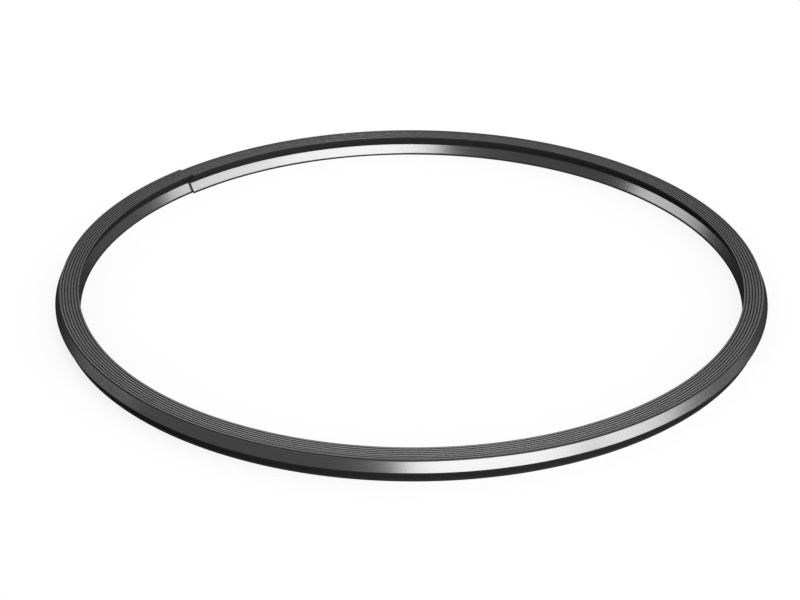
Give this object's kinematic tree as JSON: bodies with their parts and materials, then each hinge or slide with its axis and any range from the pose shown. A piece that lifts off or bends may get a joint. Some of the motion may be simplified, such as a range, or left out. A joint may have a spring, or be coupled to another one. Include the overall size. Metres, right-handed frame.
{
  "type": "spiral wound gasket",
  "caption": "Round flat gasket wound from a V-section metal strip with a soft filler strip between its turns, open at the bore.",
  "frame": {"origin": "centre of the winding, on the lower sealing face", "axes": "+Z along the gasket's axis, out of the upper sealing face; the strips are cut off at 135 degrees from +X towards +Y and run clockwise seen from +Z, from the bore outwards"},
  "size_m": [0.1419, 0.1417, 0.0045],
  "materials": {
    "winding_metal": "dark bright-rolled strip, smooth flanks, slit edges",
    "filler_graphite": "soft flexible graphite, matte"
  },
  "bodies": {
    "root": {"winding_strip": "winding_metal", "filler_strip": "filler_graphite"}
  },
  "joints": []
}
